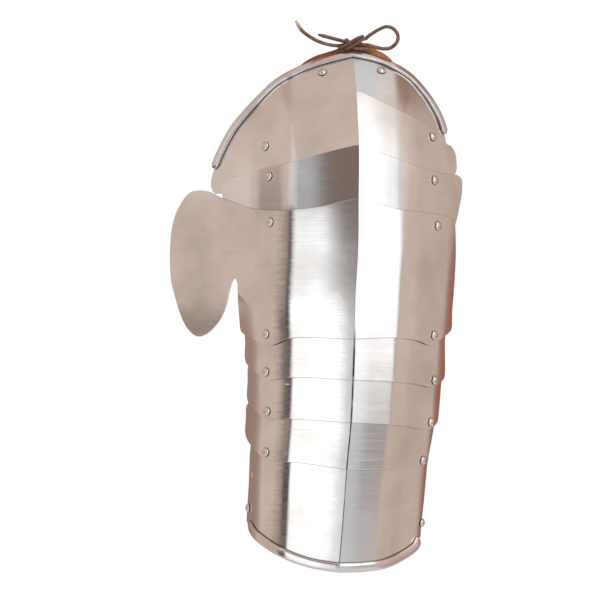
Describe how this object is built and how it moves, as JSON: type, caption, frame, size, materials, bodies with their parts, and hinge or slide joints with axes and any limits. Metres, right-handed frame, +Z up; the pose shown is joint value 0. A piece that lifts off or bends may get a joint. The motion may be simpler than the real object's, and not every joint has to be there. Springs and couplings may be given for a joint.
{
  "type": "pauldron",
  "caption": "Left shoulder and upper arm defence of overlapping ridged steel plates on pivot rivets, with a front wing, rolled rims, a laced leather shoulder tab and an arm strap",
  "frame": {"origin": "At the lacing in front of the leather shoulder tab, just behind the top rim, where the pauldron hangs", "axes": "+Z is up along the arm, -Y is outward from the wearer's left arm, +X is toward the wearer's back"},
  "size_m": [0.2411, 0.1458, 0.4543],
  "materials": {
    "plate_steel": "finely brushed, near polished",
    "rivet_steel": "finely brushed, near polished",
    "buckle_steel": "finely brushed, near polished",
    "tab_leather": "smooth, waxed",
    "lace_leather": "dull",
    "strap_leather": "smooth, waxed"
  },
  "bodies": {
    "cap": {"cap_plate": "plate_steel", "shoulder_tab": "tab_leather", "shoulder_lace": "lace_leather", "tab_rivet_front": "rivet_steel", "tab_rivet_back": "rivet_steel"},
    "upper_lame_1": {"upper_lame_1": "plate_steel", "cap_rivet_front": "rivet_steel", "cap_rivet_back": "rivet_steel"},
    "upper_lame_2": {"upper_lame_2": "plate_steel", "upper_rivet_front": "rivet_steel", "upper_rivet_back": "rivet_steel"},
    "main": {"main_plate": "plate_steel", "main_rivet_front": "rivet_steel", "main_rivet_back": "rivet_steel", "lower_rivet_1_front": "rivet_steel", "lower_rivet_1_back": "rivet_steel"},
    "lower_lame_1": {"lower_lame_1": "plate_steel", "lower_rivet_2_front": "rivet_steel", "lower_rivet_2_back": "rivet_steel"},
    "lower_lame_2": {"lower_lame_2": "plate_steel", "lower_rivet_3_front": "rivet_steel", "lower_rivet_3_back": "rivet_steel"},
    "lower_lame_3": {"lower_lame_3": "plate_steel", "cannon_rivet_front": "rivet_steel", "cannon_rivet_back": "rivet_steel"},
    "cannon": {"arm_cannon": "plate_steel", "arm_strap": "strap_leather", "strap_buckle": "buckle_steel", "strap_rivet_front": "rivet_steel", "strap_rivet_back": "rivet_steel"}
  },
  "joints": [
    {"name": "cap_pivot", "type": "hinge", "parent": "cap", "child": "upper_lame_1", "pos_m": [-0.07144, -0.02185, -0.0791], "axis": [0.9981, 0.0195, 0.0583], "range_deg": [-3, 3]},
    {"name": "upper_pivot", "type": "hinge", "parent": "upper_lame_1", "child": "upper_lame_2", "pos_m": [-0.06841, -0.03575, -0.10393], "axis": [0.9993, 0.0301, -0.0217], "range_deg": [-4, 5]},
    {"name": "main_pivot", "type": "hinge", "parent": "upper_lame_2", "child": "main", "pos_m": [-0.06739, -0.04605, -0.14115], "axis": [0.9974, 0.0688, -0.0219], "range_deg": [-4, 6]},
    {"name": "lower_pivot_1", "type": "hinge", "parent": "main", "child": "lower_lame_1", "pos_m": [-0.07089, -0.0467, -0.23295], "axis": [0.9975, 0.0704, -0.0066], "range_deg": [-6, 3]},
    {"name": "lower_pivot_2", "type": "hinge", "parent": "lower_lame_1", "child": "lower_lame_2", "pos_m": [-0.07089, -0.04299, -0.26403], "axis": [0.9939, 0.0987, -0.05], "range_deg": [-6, 5]},
    {"name": "lower_pivot_3", "type": "hinge", "parent": "lower_lame_2", "child": "lower_lame_3", "pos_m": [-0.06989, -0.04107, -0.29655], "axis": [0.9915, 0.1119, -0.0657], "range_deg": [-6, 5]},
    {"name": "cannon_pivot", "type": "hinge", "parent": "lower_lame_3", "child": "cannon", "pos_m": [-0.07089, -0.03802, -0.33011], "axis": [0.9938, 0.0977, -0.0521], "range_deg": [-5, 6]}
  ]
}
